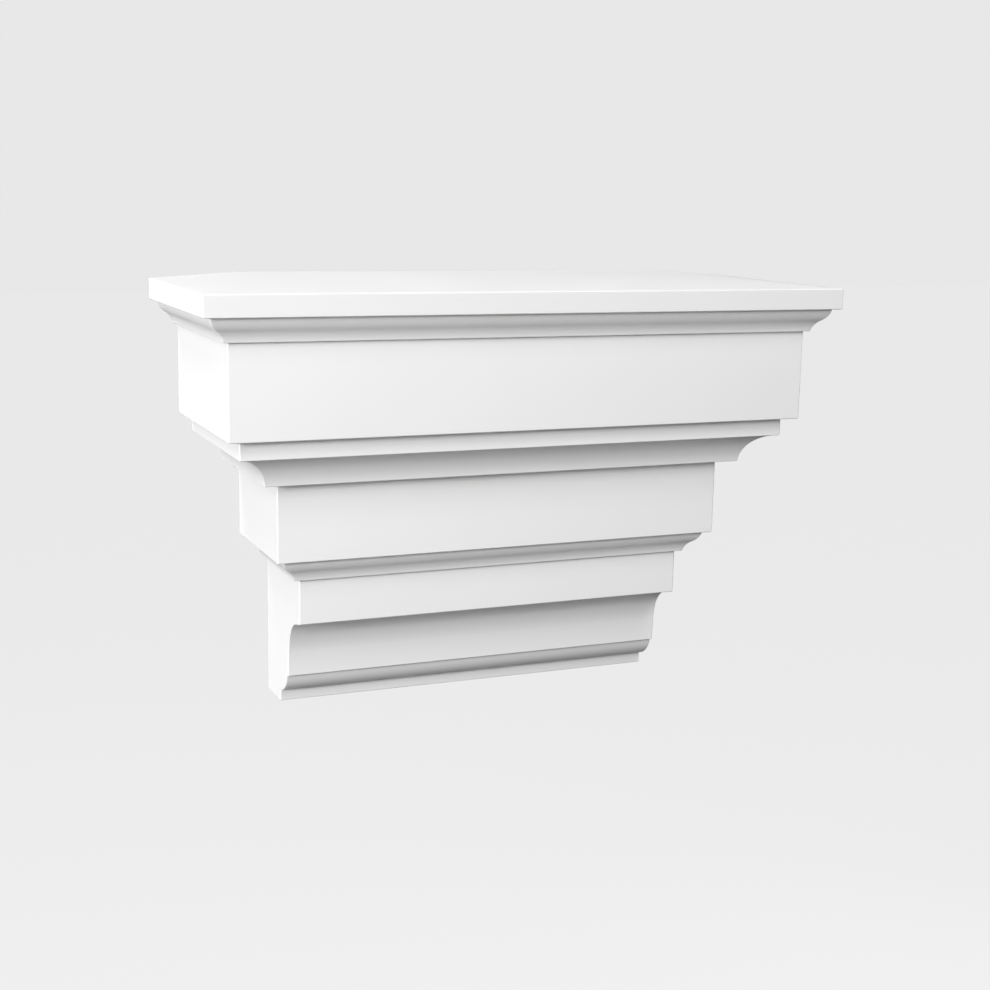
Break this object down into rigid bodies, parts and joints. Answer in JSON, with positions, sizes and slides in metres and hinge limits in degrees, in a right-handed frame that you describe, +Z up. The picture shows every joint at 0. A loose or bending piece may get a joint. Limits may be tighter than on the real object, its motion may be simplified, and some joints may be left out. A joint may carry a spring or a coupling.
{
  "type": "corbel",
  "caption": "Moulded corbel whose bands, ogees, hollow and cove step out from a wall under a weathered plate, to carry a sill, ledge or cornice.",
  "frame": {"origin": "centre of the flat back face, where the corbel is fixed to the wall", "axes": "+Y into the wall, -Y out of it, +X along the wall, +Z up"},
  "size_m": [0.44, 0.1581, 0.2954],
  "materials": {
    "primed_white": "smooth satin white primer on rigid moulded foam"
  },
  "bodies": {
    "root": {"corbel": "primed_white"}
  },
  "joints": []
}
